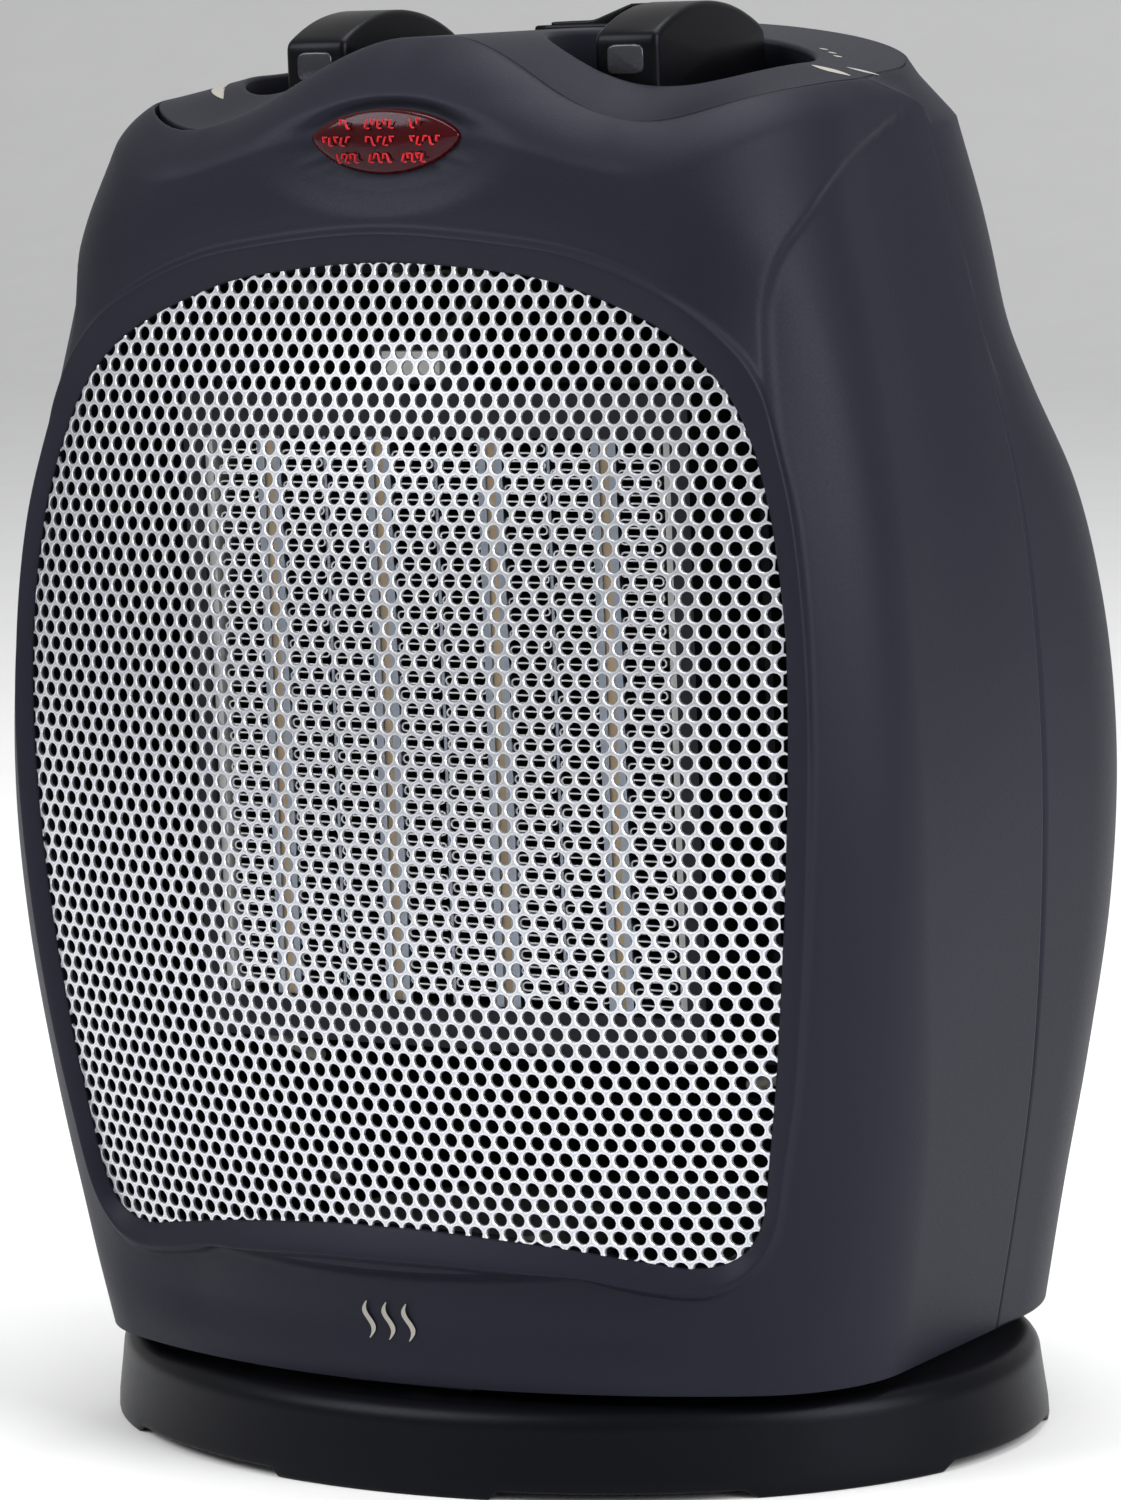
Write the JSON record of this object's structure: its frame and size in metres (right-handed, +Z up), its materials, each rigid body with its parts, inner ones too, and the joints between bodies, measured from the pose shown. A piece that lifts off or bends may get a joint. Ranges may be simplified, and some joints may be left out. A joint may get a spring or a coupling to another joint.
{
  "type": "ceramic fan heater",
  "caption": "Compact tabletop ceramic fan heater: charcoal housing with bright mesh outlet, two top dials, a rocker, on an oval swivelling base.",
  "frame": {"origin": "underside of the base, where the swivel axis meets the surface the feet rest on", "axes": "+Z up, front (air outlet) towards -Y, +X to the right of a viewer who faces the outlet"},
  "size_m": [0.188, 0.1628, 0.262],
  "materials": {
    "charcoal_plastic": "fine matt texture, charcoal",
    "base_plastic": "satin, near black",
    "black_plastic": "matt black",
    "knob_plastic": "satin black",
    "white_plastic": "plain",
    "clear_plastic": "clear insert",
    "red_lens": "translucent red",
    "lamp_glass": "clear",
    "bright_mesh": "bright satin",
    "aluminium": "bright",
    "steel": "plain",
    "ceramic": "fired ceramic",
    "copper": "enamelled winding",
    "brass": "sintered",
    "rubber": "soft",
    "foam": "open-cell foam",
    "lead_insulation": "silicone"
  },
  "bodies": {
    "base": {"base_shell": "base_plastic", "base_plate": "base_plastic", "base_screws": "steel", "rubber_feet": "rubber", "swivel_post": "black_plastic", "flange_screws": "steel", "thrust_washer": "white_plastic", "swivel_retainer": "steel", "crank_track": "black_plastic"},
    "crank": {"crank_arm": "white_plastic", "crank_shaft": "steel"},
    "housing": {"chassis_plate": "black_plastic", "oscillation_motor": "steel", "motor_clips": "steel", "tip_over_switch": "white_plastic", "front_shell": "charcoal_plastic", "rear_shell": "charcoal_plastic", "top_cover": "charcoal_plastic", "outlet_mesh": "bright_mesh", "mesh_frame": "black_plastic", "indicator_lens": "red_lens", "lamp_holder": "black_plastic", "indicator_lamp": "lamp_glass", "ptc_ceramics": "ceramic", "electrode_bars": "aluminium", "heat_fins": "aluminium", "fin_dividers": "aluminium", "element_end_plates": "white_plastic", "element_frame": "black_plastic", "thermal_cutoff": "white_plastic", "cutoff_bracket": "black_plastic", "motor_stator": "steel", "motor_coil": "copper", "motor_bracket_front": "steel", "front_bush": "brass", "motor_bracket_rear": "steel", "rear_bush": "brass", "fan_shroud": "black_plastic", "motor_mount": "black_plastic", "air_duct": "black_plastic", "inlet_filter": "foam", "lead_gland": "rubber", "control_bracket": "black_plastic", "thermostat": "black_plastic", "mode_switch": "black_plastic", "rocker_housing": "knob_plastic", "shell_screws": "steel", "inner_leads": "lead_insulation"},
    "fan": {"fan_wheel": "black_plastic", "fan_shaft": "steel", "motor_rotor": "steel", "fan_clip": "steel"},
    "thermostat_dial": {"thermostat_knob": "knob_plastic", "thermostat_pointer": "clear_plastic", "thermostat_spindle": "steel"},
    "mode_dial": {"mode_knob": "knob_plastic", "mode_pointer": "clear_plastic", "mode_spindle": "steel"},
    "rocker": {"rocker_paddle": "knob_plastic"}
  },
  "joints": [
    {"name": "swivel", "type": "hinge", "parent": "base", "child": "housing", "pos_m": [0, 0, 0.026], "axis": [0, 0, 1], "range_deg": [-27.5, 27.5]},
    {"name": "crank_turn", "type": "hinge", "parent": "housing", "child": "crank", "pos_m": [0, -0.038, 0.024], "axis": [0, 0, 1], "range_deg": [-90, 90]},
    {"name": "fan_spin", "type": "hinge", "parent": "housing", "child": "fan", "pos_m": [0, 0.02, 0.134], "axis": [0, 1, 0], "continuous": true},
    {"name": "thermostat_turn", "type": "hinge", "parent": "housing", "child": "thermostat_dial", "pos_m": [-0.0327, -0.005, 0.25], "axis": [0, 0, 1], "range_deg": [-270, 0]},
    {"name": "mode_turn", "type": "hinge", "parent": "housing", "child": "mode_dial", "pos_m": [0.0327, -0.005, 0.25], "axis": [0, 0, 1], "range_deg": [-90, 45]},
    {"name": "rocker_tip", "type": "hinge", "parent": "housing", "child": "rocker", "pos_m": [0, 0.024, 0.2565], "axis": [0, 1, 0], "range_deg": [0, 20]}
  ],
  "couplings": [
    {"joint": "crank_turn", "follows": "swivel", "ratio": -3.2143}
  ]
}
